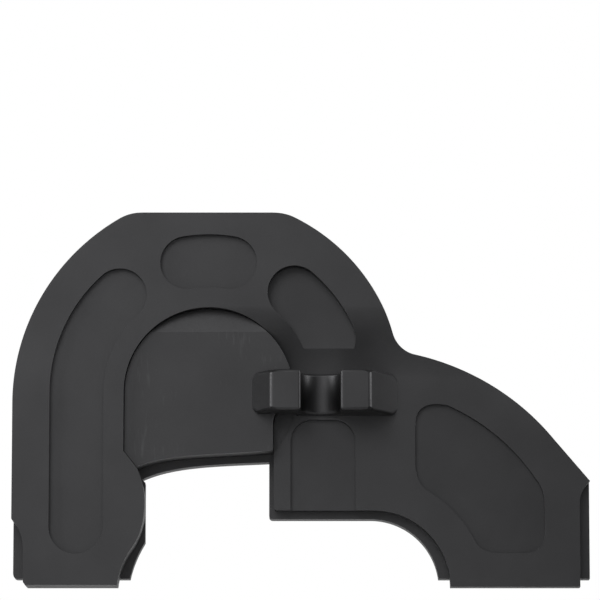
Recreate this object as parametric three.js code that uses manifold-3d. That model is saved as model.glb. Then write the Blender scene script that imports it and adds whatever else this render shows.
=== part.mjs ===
// Spare tire carrier for a one-tenth scale crawler: an arch of stacked plates with a stud seat.
// Millimetres, +Z up. The back face lies in the plane Y = 0 and the front looks along -Y.
// The origin is on the back face, behind the stud groove and level with the centre of the arch.

import * as THREE from "three";
import { mergeVertices } from "three/addons/utils/BufferGeometryUtils.js";
import Module from "manifold-3d";

const wasm = await Module();
wasm.setup();

// Levels: the height of each face in front of the back face.
const REAR_T = 2.0; // rear plate
const WING_H = 3.8; // front plate on the wing, the post and the right leg
const PANEL_H = 5.4; // centre panel
const ARCH_H = 6.0; // front plate on the arch and the left leg
const HUB_H = 8.8; // flat front of the hub block
const ARCH_POCKET_H = 5.3; // floor of the left and top arch pockets
const SHOULDER_POCKET_H = 4.4; // floor of the pocket that runs out on the shoulder
const WING_POCKET_H = 3.2; // floor of the wing and post pockets

// Centres of the main arcs, as [X, Z].
const ARCH_C = [-11.6, 0]; // panel circle and arch pockets
const LEFT_C = [-9.55, -1.12]; // outside of the arch on the left
const RIGHT_C = [-11.66, 0.34]; // outside of the arch on the right
const WING_C = [4.56, -20.74]; // outside of the wing
const REAR_INNER_C = [5.2, -20.05]; // inside of the right leg, rear plate
const FRONT_INNER_C = [5.49, -20.09]; // inside of the right leg, front plate

const LEFT_R = 22.41;
const RIGHT_R = 20.07;
const WING_R = 25.4;
const SHOULDER_R = 3.1; // hollow between the arch and the wing
const PANEL_R = 8.75;
const REAR_INNER_R = 7.14;
const FRONT_INNER_R = 7.96;

const TOP_Z = 18.8; // flat top of the arch
const RIGHT_X = 28.0; // outermost point of the wing
const LEFT_X = LEFT_C[0] - LEFT_R; // outermost edge of the left leg
const REAR_FOOT_Z = -19.13;
const FRONT_FOOT_Z = -20.12;
const POST_X = -4.84; // left edge of the post
const RAMP_TOP_Z = 8.9; // the right shoulder slopes down from here
const RAMP_FOOT_Z = 1.5; // to here
const HUB_MID_Z = -0.15; // middle of the hub block

const FIT = 0.1; // gap round the centre panel
const SCREW_R = 1.0;
const SCREW_HEAD_R = 1.8;
const SCREW_SUNK = 0.1; // head below the back face
const SCREW_GAP = 0.06;
const SOCKET_AF = 1.3;
const SOCKET_DEPTH = 0.7;
const PIN_R = 0.75;
const TAPPED_R = 1.25; // open mounting holes in the back, for M3 screws
const SIDES = 16; // facets round a screw or hole
const CURVE_STEPS = 10;

const ARC = Math.PI / 180;

// A point on a circle, at an angle in degrees.
function polar([x, z], radius, degrees) {
  return [x + radius * Math.cos(degrees * ARC), z + radius * Math.sin(degrees * ARC)];
}

function angleTo([cx, cz], [x, z]) {
  return Math.atan2(z - cz, x - cx);
}

// The meeting point of two circles that lies on the right of the line between their centres.
function circlesMeet([ax, az], ra, [bx, bz], rb) {
  const gap = Math.hypot(bx - ax, bz - az);
  const along = (ra * ra - rb * rb + gap * gap) / (2 * gap);
  const across = Math.sqrt(ra * ra - along * along);
  const ux = (bx - ax) / gap;
  const uz = (bz - az) / gap;
  return [ax + along * ux - across * uz, az + along * uz + across * ux];
}

// Extrudes an outline drawn in X and Z from one height to another, in front of the back face.
function slab(shape, from, to, curveSegments = CURVE_STEPS) {
  const geometry = new THREE.ExtrudeGeometry(shape, { depth: to - from, bevelEnabled: false, curveSegments });
  geometry.translate(0, 0, from);
  geometry.rotateX(Math.PI / 2);
  return geometry;
}

// Extrudes a shape drawn as (Z, -height) along X.
function alongX(shape, from, to, curveSegments = CURVE_STEPS) {
  const geometry = new THREE.ExtrudeGeometry(shape, { depth: to - from, bevelEnabled: false, curveSegments });
  geometry.applyMatrix4(new THREE.Matrix4().makeBasis(
    new THREE.Vector3(0, 0, 1), new THREE.Vector3(0, 1, 0), new THREE.Vector3(-1, 0, 0)));
  geometry.translate(to, 0, 0);
  return geometry;
}

function toSolid(geometry) {
  geometry.deleteAttribute("normal");
  geometry.deleteAttribute("uv");
  const merged = mergeVertices(geometry, 1e-4);
  return new wasm.Manifold(new wasm.Mesh({
    numProp: 3,
    vertProperties: new Float32Array(merged.attributes.position.array),
    triVerts: new Uint32Array(merged.index.array),
  }));
}

function toGeometry(solid) {
  const mesh = solid.getMesh();
  const geometry = new THREE.BufferGeometry();
  geometry.setAttribute("position", new THREE.BufferAttribute(new Float32Array(mesh.vertProperties), 3));
  geometry.setIndex(new THREE.BufferAttribute(new Uint32Array(mesh.triVerts), 1));
  geometry.computeVertexNormals();
  return geometry;
}

// A solid of revolution about an axis square to the plates, from [radius, height] pairs.
// The profile runs from the front end to the back end, so that its faces point out.
function turned(profile, [x, z]) {
  const points = profile.map(([radius, height]) => new THREE.Vector2(radius, -height));
  const geometry = new THREE.LatheGeometry(points, SIDES);
  geometry.translate(x, 0, z);
  return geometry;
}

// ---- Outlines ----------------------------------------------------------------------------

// The outside edge that both plates share, from the left leg over the arch and down the wing.
function addOuterEdge(shape) {
  const leftTop = [LEFT_C[0] - Math.sqrt(LEFT_R ** 2 - (TOP_Z - LEFT_C[1]) ** 2), TOP_Z];
  const rightTop = [RIGHT_C[0] + Math.sqrt(RIGHT_R ** 2 - (TOP_Z - RIGHT_C[1]) ** 2), TOP_Z];
  const hollow = circlesMeet(RIGHT_C, RIGHT_R + SHOULDER_R, WING_C, WING_R + SHOULDER_R);
  const wingEnd = [24.3, -4.74];
  shape.absarc(...LEFT_C, LEFT_R, Math.PI, angleTo(LEFT_C, leftTop), true);
  shape.absarc(...RIGHT_C, RIGHT_R, angleTo(RIGHT_C, rightTop), angleTo(RIGHT_C, hollow), true);
  shape.absarc(...hollow, SHOULDER_R, angleTo(hollow, RIGHT_C), angleTo(hollow, WING_C), false);
  shape.absarc(...WING_C, WING_R, angleTo(WING_C, hollow), angleTo(WING_C, wingEnd), true);
  shape.lineTo(RIGHT_X, -9.1);
}

function rearOutline() {
  const postX = POST_X - 0.5;
  const postZ = REAR_INNER_C[1] + REAR_INNER_R;
  const shape = new THREE.Shape();
  shape.moveTo(LEFT_X + 0.3, REAR_FOOT_Z);
  shape.lineTo(LEFT_X, REAR_FOOT_Z + 0.5);
  addOuterEdge(shape);
  shape.lineTo(RIGHT_X, REAR_FOOT_Z);
  const legStart = Math.asin((REAR_FOOT_Z - REAR_INNER_C[1]) / REAR_INNER_R);
  shape.absarc(...REAR_INNER_C, REAR_INNER_R, legStart, Math.PI / 2, false);
  shape.lineTo(postX + 0.4, postZ);
  shape.quadraticCurveTo(postX, postZ, postX, postZ + 0.4);
  shape.lineTo(postX, -6.95);
  shape.bezierCurveTo(-11.0, -7.2, -15.4, -7.25, -18.6, -8.75);
  shape.lineTo(-18.25, -9.1);
  shape.lineTo(-18.25, -15.3);
  shape.quadraticCurveTo(-19.4, -17.2, -19.8, REAR_FOOT_Z);
  return shape;
}

function frontOutline() {
  const postZ = FRONT_INNER_C[1] + FRONT_INNER_R;
  const shape = new THREE.Shape();
  shape.moveTo(-30.4, FRONT_FOOT_Z);
  shape.lineTo(-30.7, FRONT_FOOT_Z + 0.3);
  shape.lineTo(-30.7, -16.6);
  shape.quadraticCurveTo(-30.7, -14.6, LEFT_X, -13.25);
  addOuterEdge(shape);
  shape.quadraticCurveTo(26.9, -10.2, 26.9, -11.4);
  shape.lineTo(26.9, FRONT_FOOT_Z);
  const legStart = Math.asin((FRONT_FOOT_Z - FRONT_INNER_C[1]) / FRONT_INNER_R);
  shape.absarc(...FRONT_INNER_C, FRONT_INNER_R, legStart, Math.PI / 2, false);
  shape.lineTo(POST_X + 0.4, postZ);
  shape.quadraticCurveTo(POST_X, postZ, POST_X, postZ + 0.4);
  addPanelEdge(shape, FIT);
  shape.lineTo(-19.0, -8.0);
  shape.quadraticCurveTo(-18.2, -9.7, -18.2, -11.5);
  shape.quadraticCurveTo(-18.2, -14.6, -19.6, -16.4);
  shape.quadraticCurveTo(-20.8, -18.2, -21.0, FRONT_FOOT_Z);
  return shape;
}

// The edge between the front plate and the centre panel, up the post, round and down the left leg.
function addPanelEdge(shape, gap) {
  const radius = PANEL_R + gap;
  const right = POST_X - FIT + gap;
  shape.lineTo(right, -3.4);
  shape.quadraticCurveTo(right, -2.4, right + 0.6, -1.8);
  shape.lineTo(ARCH_C[0] + radius, 0);
  shape.absarc(...ARCH_C, radius, 0, Math.PI, false);
  shape.lineTo(ARCH_C[0] - radius, -6.2);
}

function panelOutline() {
  const shape = new THREE.Shape();
  shape.moveTo(POST_X - FIT, -6.1);
  addPanelEdge(shape, 0);
  shape.lineTo(-19.05, -7.8);
  shape.bezierCurveTo(-16.0, -6.4, -11.0, -6.6, POST_X - FIT, -6.1);
  return shape;
}

// A pocket that follows the arch: a band between two arcs with round ends, and with
// a straight tail down the left leg where one is asked for.
const BAND_IN_R = 10.9;
const BAND_OUT_R = 16.5;
const BAND_MID_R = (BAND_IN_R + BAND_OUT_R) / 2;
const BAND_HALF = (BAND_OUT_R - BAND_IN_R) / 2;

function bandPocket(fromDegrees, toDegrees, tail = 0) {
  const from = fromDegrees * ARC;
  const to = toDegrees * ARC;
  const start = polar(ARCH_C, BAND_MID_R, fromDegrees);
  const end = polar(ARCH_C, BAND_MID_R, toDegrees);
  const shape = new THREE.Shape();
  shape.absarc(...ARCH_C, BAND_OUT_R, from, to, false);
  shape.absarc(end[0], end[1] - tail, BAND_HALF, to, to + Math.PI, false);
  shape.absarc(...ARCH_C, BAND_IN_R, to, from, true);
  shape.absarc(...start, BAND_HALF, from + Math.PI, from + 2 * Math.PI, false);
  return shape;
}

// The wing pocket's lower left side is an arc of its own.
const POCKET_INNER_C = [4.32, -21.4];
const POCKET_INNER_R = 13.16;

function wingPocket() {
  const outR = WING_R - 4.0;
  const left = 9.85;
  const right = 23.27;
  const floor = -16.63;
  const shape = new THREE.Shape();
  shape.moveTo(left, -3.3);
  shape.quadraticCurveTo(left, -0.5, ...polar(WING_C, outR, 66));
  shape.absarc(...WING_C, outR, 66 * ARC, 34 * ARC, true);
  shape.quadraticCurveTo(right, -9.9, right, -11.7);
  shape.lineTo(right, floor + 2.2);
  shape.quadraticCurveTo(right, floor, right - 2.2, floor);
  shape.lineTo(18.6, floor);
  shape.quadraticCurveTo(16.7, floor, ...polar(POCKET_INNER_C, POCKET_INNER_R, 27));
  shape.absarc(...POCKET_INNER_C, POCKET_INNER_R, 27 * ARC, 58 * ARC, false);
  shape.quadraticCurveTo(left, -9.4, left, -7.2);
  return shape;
}

function postPocket() {
  const left = -3.12;
  const right = 3.64;
  const top = -2.7;
  const corner = 2.3;
  const shape = new THREE.Shape();
  shape.moveTo(left, -16);
  shape.lineTo(left, top - corner);
  shape.absarc(left + corner, top - corner, corner, Math.PI, Math.PI / 2, true);
  shape.absarc(right - corner, top - corner, corner, Math.PI / 2, 0, true);
  shape.lineTo(right, -16);
  return shape;
}

// ---- Fasteners: countersunk socket screws from the back, and dowel pins -------------------

const ARCH_SCREW_LENGTH = 4.0;
const WING_SCREW_LENGTH = 3.4;
const PANEL_SCREW_LENGTH = 4.0;
const HUB_SCREW_LENGTH = 7.0;

const screws = [
  { name: "arch_screw", length: ARCH_SCREW_LENGTH, into: "front", at: [
    [-25.3, -16.6], [-25.3, -2.5], polar(ARCH_C, 14.0, 142), polar(ARCH_C, 14.0, 90), polar(ARCH_C, 14.0, 38),
  ] },
  { name: "wing_screw", length: WING_SCREW_LENGTH, into: "front", at: [
    polar(WING_C, 23.3, 75), polar(WING_C, 23.2, 34.5), [25.2, -15.4], [14.3, -16.2], [6.8, -7.3],
  ] },
  { name: "panel_screw", length: PANEL_SCREW_LENGTH, into: "panel", at: [[-16.4, 2.6], [-11.6, -3.4]] },
  { name: "hub_screw", length: HUB_SCREW_LENGTH, into: "hub", at: [[-4.6, HUB_MID_Z], [4.8, HUB_MID_Z]] },
];
const pins = [polar(ARCH_C, 14.0, 115), [20.6, -17.95]];
const PIN_BACK = 0.2;
const PIN_FRONT = 3.4;
const mountingHoles = [[-25.3, -10.0], polar(ARCH_C, 14.0, 64), polar(WING_C, 23.2, 54)];
const MOUNTING_DEPTH = 3.3;

function screwGeometry(length) {
  const bevel = 0.2;
  const headEnd = SCREW_SUNK + SCREW_HEAD_R - SCREW_R;
  const blank = toSolid(turned([
    [0, length],
    [SCREW_R - bevel, length],
    [SCREW_R, length - bevel],
    [SCREW_R, headEnd],
    [SCREW_HEAD_R, SCREW_SUNK],
    [0, SCREW_SUNK],
  ], [0, 0]));
  const socketR = SOCKET_AF / Math.sqrt(3);
  const socket = new THREE.CylinderGeometry(socketR, socketR, SOCKET_DEPTH * 2, 6);
  socket.translate(0, -SCREW_SUNK, 0);
  return toGeometry(blank.subtract(toSolid(socket)));
}

// The hole in the rear plate: a cone for the head and a clearance hole for the shank.
function countersink(at) {
  const head = SCREW_HEAD_R + SCREW_GAP;
  const shank = SCREW_R + SCREW_GAP;
  return toSolid(turned([
    [0, REAR_T + 1],
    [shank, REAR_T + 1],
    [shank, SCREW_SUNK + head - shank],
    [head, SCREW_SUNK],
    [head, -1],
    [0, -1],
  ], at));
}

function drilled(at, radius, from, to) {
  return toSolid(turned([[0, to], [radius, to], [radius, from], [0, from]], at));
}

function cutAll(solid, cutters) {
  return cutters.reduce((left, cutter) => left.subtract(cutter), solid);
}

// The blind holes for the screws that end in one piece. Of the hub's two screws the left one passes
// through the centre panel, and the right one through the front plate.
function holesFor(piece) {
  return screws
    .filter((kind) => kind.into === piece)
    .flatMap((kind) => kind.at.map((at) => drilled(at, SCREW_R + SCREW_GAP, REAR_T - 1, kind.length + 0.15)));
}

// ---- Pieces ------------------------------------------------------------------------------

function rearPlate() {
  const heads = screws.flatMap((kind) => kind.at.map(countersink));
  const pinHoles = pins.map((at) => drilled(at, PIN_R + SCREW_GAP, -1, REAR_T + 1));
  const tapped = mountingHoles.map((at) => drilled(at, TAPPED_R, -1, REAR_T + 1));
  return cutAll(toSolid(slab(rearOutline(), 0, REAR_T)), [...heads, ...pinHoles, ...tapped]);
}

// Everything in front of the wing level, with the slope down the right shoulder.
function wingRelief() {
  const shape = new THREE.Shape();
  shape.moveTo(RAMP_TOP_Z, -ARCH_H);
  shape.bezierCurveTo(RAMP_TOP_Z - 2.0, -ARCH_H, RAMP_FOOT_Z + 3.7, -WING_H, RAMP_FOOT_Z, -WING_H);
  shape.lineTo(FRONT_FOOT_Z - 2, -WING_H);
  shape.lineTo(FRONT_FOOT_Z - 2, -ARCH_H - 2);
  shape.lineTo(RAMP_TOP_Z, -ARCH_H - 2);
  return toSolid(alongX(shape, ARCH_C[0], RIGHT_X + 5));
}

function frontPlate() {
  const over = HUB_H;
  const pinHoles = pins.map((at) => drilled(at, PIN_R + SCREW_GAP, REAR_T - 1, PIN_FRONT + 0.1));
  const tapped = mountingHoles.map((at) => drilled(at, TAPPED_R, REAR_T - 1, MOUNTING_DEPTH));
  const [, rightHubScrew] = holesFor("hub");
  return cutAll(toSolid(slab(frontOutline(), REAR_T, ARCH_H)), [
    wingRelief(),
    toSolid(slab(bandPocket(132.5, 180, 14.1), ARCH_POCKET_H, over)),
    toSolid(slab(bandPocket(80.8, 99.6), ARCH_POCKET_H, over)),
    toSolid(slab(bandPocket(24.5, 49.5), SHOULDER_POCKET_H, over)),
    toSolid(slab(wingPocket(), WING_POCKET_H, over)),
    toSolid(slab(postPocket(), WING_POCKET_H, over)),
    rightHubScrew,
    ...holesFor("front"),
    ...pinHoles,
    ...tapped,
  ]);
}

// The face above the chord leans back towards the arch, which makes the pale crescent.
function centrePanel() {
  const chordZ = 6.3;
  const topZ = PANEL_R + 0.4;
  const lean = 0.55;
  const crescent = new THREE.Shape();
  crescent.moveTo(chordZ, -PANEL_H);
  crescent.lineTo(topZ, -PANEL_H + lean);
  crescent.lineTo(topZ, -ARCH_H - 1);
  crescent.lineTo(chordZ, -ARCH_H - 1);
  const aboveCrescent = toSolid(alongX(crescent, ARCH_C[0] - PANEL_R - 1, ARCH_C[0] + PANEL_R + 1));
  const [leftHubScrew] = holesFor("hub");
  const panel = toSolid(slab(panelOutline(), REAR_T, PANEL_H));
  return cutAll(panel, [aboveCrescent, leftHubScrew, ...holesFor("panel")]);
}

// A block with the front three sides of a hexagon, cut across by a round-bottomed groove for the
// wheel stud. It stands on the panel on the left and on the lower wing on the right.
const HUB_HALF = 5.15;
const HUB_Z = 2.13; // half the block's height
const GROOVE_R = 2.05;
const GROOVE_FLOOR_H = 4.5;

function hubBlock() {
  const slope = Math.tan(60 * ARC);
  const leftX = -HUB_HALF - (HUB_H - PANEL_H) / slope;
  const rightX = HUB_HALF + (HUB_H - WING_H) / slope;
  const stepX = ARCH_C[0] + PANEL_R + 3 * FIT;
  const profile = new THREE.Shape();
  profile.moveTo(leftX, -PANEL_H);
  profile.lineTo(stepX, -PANEL_H);
  profile.lineTo(stepX, -WING_H);
  profile.lineTo(rightX, -WING_H);
  profile.lineTo(HUB_HALF, -HUB_H);
  profile.lineTo(GROOVE_R, -HUB_H);
  profile.absarc(0, -GROOVE_FLOOR_H - GROOVE_R, GROOVE_R, 0, Math.PI, false);
  profile.lineTo(-GROOVE_R, -HUB_H);
  profile.lineTo(-HUB_HALF, -HUB_H);
  const settings = { depth: 2 * HUB_Z, bevelEnabled: false, curveSegments: 12 };
  const geometry = new THREE.ExtrudeGeometry(profile, settings);
  geometry.translate(0, 0, HUB_MID_Z - HUB_Z);
  const block = toSolid(geometry).intersect(toSolid(slab(hubFace(leftX, rightX), WING_H - 1, HUB_H + 1)));
  return cutAll(block, [hubRamp(), ...holesFor("hub")]);
}

// Seen from the front the block's four corners are cut off.
function hubFace(leftX, rightX) {
  const cut = 0.5;
  const low = HUB_MID_Z - HUB_Z;
  const high = HUB_MID_Z + HUB_Z;
  const shape = new THREE.Shape();
  shape.moveTo(leftX + cut, low);
  shape.lineTo(rightX - cut, low);
  shape.lineTo(rightX, low + cut);
  shape.lineTo(rightX, high - cut);
  shape.lineTo(rightX - cut, high);
  shape.lineTo(leftX + cut, high);
  shape.lineTo(leftX, high - cut);
  shape.lineTo(leftX, low + cut);
  return shape;
}

// The underside clears the foot of the shoulder slope.
function hubRamp() {
  const start = RAMP_FOOT_Z - 0.3;
  const rise = 0.3;
  const shape = new THREE.Shape();
  shape.moveTo(start, -WING_H + 1);
  shape.lineTo(start, -WING_H);
  shape.lineTo(HUB_Z + 1, -WING_H - rise);
  shape.lineTo(HUB_Z + 1, -WING_H + 1);
  return toSolid(alongX(shape, -10, 10));
}

function pinGeometry() {
  const bevel = 0.15;
  return turned([
    [0, PIN_FRONT],
    [PIN_R - bevel, PIN_FRONT],
    [PIN_R, PIN_FRONT - bevel],
    [PIN_R, PIN_BACK + bevel],
    [PIN_R - bevel, PIN_BACK],
    [0, PIN_BACK],
  ], [0, 0]);
}

// ---- Assembly ----------------------------------------------------------------------------

const ANODISED = { color: 0x2c2c2d, roughness: 0.5, metalness: 0.8 };
const BLACK_STEEL = { color: 0x1c1c1e, roughness: 0.4, metalness: 0.9 };
const GROUND_STEEL = { color: 0x9a9b9d, roughness: 0.3, metalness: 1.0 };

const carrier = new THREE.Group();

function addPiece(name, geometry, finish, [x, z] = [0, 0]) {
  const mesh = new THREE.Mesh(geometry, new THREE.MeshStandardMaterial(finish));
  mesh.name = name;
  mesh.position.set(x, 0, z);
  carrier.add(mesh);
}

addPiece("rear_plate", toGeometry(rearPlate()), ANODISED);
addPiece("front_plate", toGeometry(frontPlate()), ANODISED);
addPiece("centre_panel", toGeometry(centrePanel()), ANODISED);
addPiece("hub_block", toGeometry(hubBlock()), ANODISED);
for (const kind of screws) {
  kind.at.forEach((at, i) => addPiece(`${kind.name}_${i + 1}`, screwGeometry(kind.length), BLACK_STEEL, at));
}
pins.forEach((at, i) => addPiece(`dowel_pin_${i + 1}`, pinGeometry(), GROUND_STEEL, at));

export default carrier;
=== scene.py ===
import math

import bmesh
import bpy
from bpy.props import FloatProperty, FloatVectorProperty, PointerProperty
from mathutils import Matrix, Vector


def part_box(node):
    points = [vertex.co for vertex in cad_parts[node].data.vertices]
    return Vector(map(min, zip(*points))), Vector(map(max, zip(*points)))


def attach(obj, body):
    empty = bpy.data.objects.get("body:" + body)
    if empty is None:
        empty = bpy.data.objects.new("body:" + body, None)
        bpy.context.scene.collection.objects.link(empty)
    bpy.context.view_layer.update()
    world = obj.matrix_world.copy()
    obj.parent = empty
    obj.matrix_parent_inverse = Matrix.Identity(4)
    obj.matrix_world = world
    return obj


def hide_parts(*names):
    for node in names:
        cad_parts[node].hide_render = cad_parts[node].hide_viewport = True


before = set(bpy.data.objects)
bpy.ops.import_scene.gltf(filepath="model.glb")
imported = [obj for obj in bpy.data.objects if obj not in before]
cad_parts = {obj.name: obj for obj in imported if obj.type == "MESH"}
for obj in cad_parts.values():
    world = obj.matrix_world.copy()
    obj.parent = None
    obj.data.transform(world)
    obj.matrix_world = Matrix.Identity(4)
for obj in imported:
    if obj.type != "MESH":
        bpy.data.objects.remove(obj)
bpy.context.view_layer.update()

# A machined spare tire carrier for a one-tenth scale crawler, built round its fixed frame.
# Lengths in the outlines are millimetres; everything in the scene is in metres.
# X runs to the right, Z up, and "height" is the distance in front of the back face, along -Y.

bl_info = {
    "name": "Spare Tire Carrier",
    "version": (1, 0, 0),
    "blender": (4, 5, 0),
    "location": "View3D > Sidebar > Carrier",
    "description": "Machined plates, pockets, a stud block and its screws, built round a fixed frame",
    "category": "Object",
}

BODY = "root"
MM = 0.001

# Levels, in millimetres in front of the back face: the first five are read from the frame, the pocket floors
# and the recess are given.
REAR_H = -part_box("rear_plate")[0].y / MM
ARCH_H = -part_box("front_plate")[0].y / MM
PANEL_H = -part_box("centre_panel")[0].y / MM
HUB_H = -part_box("hub_block")[0].y / MM
WING_H = -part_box("hub_block")[1].y / MM
ARCH_POCKET_H = 5.3
SHOULDER_POCKET_H = 4.4
WING_POCKET_H = 3.2
RECESS_H = 3.45

# Ends of the plates, read from the frame.
LEFT_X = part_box("front_plate")[0].x / MM
RIGHT_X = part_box("front_plate")[1].x / MM
TOP_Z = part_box("front_plate")[1].z / MM
FRONT_FOOT_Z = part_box("front_plate")[0].z / MM
REAR_FOOT_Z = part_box("rear_plate")[0].z / MM

# Centres of the main arcs as (X, Z), and their radii.
ARCH_C = (-11.6, 0.0)
LEFT_C, LEFT_R = (-9.55, -1.12), 22.41
RIGHT_C, RIGHT_R = (-11.66, 0.34), 20.07
WING_C, WING_R = (4.56, -20.74), 25.4
REAR_INNER_C, REAR_INNER_R = (5.2, -20.05), 7.14
FRONT_INNER_C, FRONT_INNER_R = (5.49, -20.09), 7.96
POCKET_INNER_C, POCKET_INNER_R = (4.32, -21.4), 13.16
SHOULDER_R = 3.1
PANEL_R = 8.75
RECESS_R = 9.15

POST_X = -4.84
REAR_POST_X = -5.34
RAMP_TOP_Z, RAMP_FOOT_Z = 8.9, 1.5
CHORD_Z = 6.3  # the crease above which the panel leans back
CRESCENT_LEAN = 0.55
LEFT_LEG_REAR_X = -18.25  # inner edge of the left leg, rear plate
LEFT_LEG_FRONT_X = -18.2
WING_CORNER = (24.3, -4.74)  # where the wing's arc ends and its straight corner starts
WING_CORNER_Z = -9.1
FIT = 0.07
SCREW_GAP = 0.05
SCREW_R = 1.0
SCREW_HEAD_R = 1.8
SOCKET_DEPTH = 0.7
PIN_R = 0.75

HUB_MID_Z = (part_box("hub_block")[0].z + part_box("hub_block")[1].z) / 2 / MM
HUB_HALF_Z = (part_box("hub_block")[1].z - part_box("hub_block")[0].z) / 2 / MM
HUB_HALF = 5.15
GROOVE_R = 2.05
GROOVE_FLOOR_H = 4.5

TAPPED_MINOR_R = 1.25
TAPPED_MAJOR_R = 1.5
TAPPED_PITCH = 0.5
TAPPED_DEPTH = 3.3
TAPPED_CHAMFER = 0.25
TAPPED_LIP = 0.12  # the full-width lip behind the chamfer

ARC_STEP = 1.5  # degrees

SCREW_KINDS = {
    "arch_screws": [f"arch_screw_{i}" for i in range(1, 6)],
    "wing_screws": [f"wing_screw_{i}" for i in range(1, 6)],
    "panel_screws": ["panel_screw_1", "panel_screw_2"],
    "hub_screws": ["hub_screw_1", "hub_screw_2"],
}
SCREWS = [name for names in SCREW_KINDS.values() for name in names]
PINS = ["dowel_pin_1", "dowel_pin_2"]


def place_of(name):
    """A fastener's axis as (X, Z), its back end and its length, from its box in the frame."""
    low, high = (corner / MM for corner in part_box(name))
    return ((low.x + high.x) / 2, (low.z + high.z) / 2), -high.y, high.y - low.y


PLACES = {name: place_of(name) for name in SCREWS + PINS}


def linear(hex_colour):
    """A linear colour from an sRGB hex value."""
    parts = [int(hex_colour[i:i + 2], 16) / 255 for i in (1, 3, 5)]
    return [c / 12.92 if c <= 0.04045 else ((c + 0.055) / 1.055) ** 2.4 for c in parts] + [1.0]


# ---- Outlines, as lists of (X, Z) in millimetres ---------------------------------------------


def polar(centre, radius, degrees):
    turn = math.radians(degrees)
    return (centre[0] + radius * math.cos(turn), centre[1] + radius * math.sin(turn))


def bearing(centre, point):
    return math.degrees(math.atan2(point[1] - centre[1], point[0] - centre[0]))


def arc(centre, radius, start, end, step=ARC_STEP):
    """Points along an arc, both ends included."""
    count = max(2, math.ceil(abs(end - start) / step))
    return [polar(centre, radius, start + (end - start) * i / count) for i in range(count + 1)]


def bezier(*controls, steps=12):
    """Points along a Bezier curve of any degree, both ends included."""
    points = []
    for i in range(steps + 1):
        t = i / steps
        row = [Vector(c) for c in controls]
        while len(row) > 1:
            row = [a.lerp(b, t) for a, b in zip(row, row[1:])]
        points.append(tuple(row[0]))
    return points


def circles_meet(a, ra, b, rb):
    """The meeting point of two circles on the right of the line between their centres."""
    gap = math.dist(a, b)
    along = (ra * ra - rb * rb + gap * gap) / (2 * gap)
    across = math.sqrt(ra * ra - along * along)
    ux, uz = (b[0] - a[0]) / gap, (b[1] - a[1]) / gap
    return (a[0] + along * ux - across * uz, a[1] + along * uz + across * ux)


def outer_edge():
    """The outside edge that both plates share, from the left leg over the arch and down the wing."""
    soft = 3.0
    left_top = math.degrees(math.asin((TOP_Z - LEFT_C[1]) / LEFT_R))
    right_top = math.degrees(math.asin((TOP_Z - RIGHT_C[1]) / RIGHT_R))
    left_corner = polar(LEFT_C, LEFT_R, 180 - left_top)
    right_corner = polar(RIGHT_C, RIGHT_R, right_top)
    hollow = circles_meet(RIGHT_C, RIGHT_R + SHOULDER_R, WING_C, WING_R + SHOULDER_R)
    left = arc(LEFT_C, LEFT_R, 180, 180 - left_top + soft)
    right = arc(RIGHT_C, RIGHT_R, right_top - soft, bearing(RIGHT_C, hollow))
    return [
        *left,
        *bezier(left[-1], left_corner, (left_corner[0] + 1.2, TOP_Z), steps=5),
        *bezier((right_corner[0] - 1.2, TOP_Z), right_corner, right[0], steps=5),
        *right,
        *arc(hollow, SHOULDER_R, bearing(hollow, RIGHT_C), bearing(hollow, WING_C), 4),
        *arc(WING_C, WING_R, bearing(WING_C, hollow), bearing(WING_C, WING_CORNER)),
        (RIGHT_X, WING_CORNER_Z),
    ]


def panel_edge(gap):
    """The edge between the front plate and the panel: up the post, round and down the left leg."""
    radius = PANEL_R + gap
    right = POST_X - 0.1 + gap
    return [
        *bezier((right, -3.4), (right, -2.4), (right + 0.6, -1.8), steps=5),
        *arc(ARCH_C, radius, 0, 180),
        (ARCH_C[0] - radius, -6.2),
    ]


def rear_outline():
    post_z = REAR_INNER_C[1] + REAR_INNER_R
    leg_start = math.degrees(math.asin((REAR_FOOT_Z - REAR_INNER_C[1]) / REAR_INNER_R))
    return [
        *bezier((LEFT_X + 0.45, REAR_FOOT_Z), (LEFT_X, REAR_FOOT_Z), (LEFT_X, REAR_FOOT_Z + 0.6), steps=5),
        *outer_edge(),
        (RIGHT_X, REAR_FOOT_Z),
        *arc(REAR_INNER_C, REAR_INNER_R, leg_start, 90),
        *bezier((REAR_POST_X + 0.4, post_z), (REAR_POST_X, post_z), (REAR_POST_X, post_z + 0.4), steps=5),
        *bezier((REAR_POST_X, -6.95), (-11.0, -7.2), (-15.4, -7.25), (-18.6, -8.75), steps=16),
        (LEFT_LEG_REAR_X, -9.1),
        *bezier((LEFT_LEG_REAR_X, -15.3), (-19.4, -17.2), (-19.8, REAR_FOOT_Z), steps=10),
    ]


def front_outline():
    post_z = FRONT_INNER_C[1] + FRONT_INNER_R
    leg_start = math.degrees(math.asin((FRONT_FOOT_Z - FRONT_INNER_C[1]) / FRONT_INNER_R))
    return [
        (-30.4, FRONT_FOOT_Z),
        (-30.7, FRONT_FOOT_Z + 0.3),
        *bezier((-30.7, -16.6), (-30.7, -14.6), (LEFT_X, -13.25), steps=10),
        *outer_edge(),
        *bezier((RIGHT_X, WING_CORNER_Z), (26.9, -10.2), (26.9, -11.4), steps=6)[1:],
        (26.9, FRONT_FOOT_Z),
        *arc(FRONT_INNER_C, FRONT_INNER_R, leg_start, 90),
        *bezier((POST_X + 0.4, post_z), (POST_X, post_z), (POST_X, post_z + 0.4), steps=5),
        *panel_edge(FIT),
        *bezier((-19.0, -8.0), (LEFT_LEG_FRONT_X, -9.7), (LEFT_LEG_FRONT_X, -11.5), steps=8),
        *bezier((LEFT_LEG_FRONT_X, -11.5), (LEFT_LEG_FRONT_X, -14.6), (-19.6, -16.4), steps=10)[1:],
        *bezier((-19.6, -16.4), (-20.8, -18.2), (-21.0, FRONT_FOOT_Z), steps=8)[1:],
    ]


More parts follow.
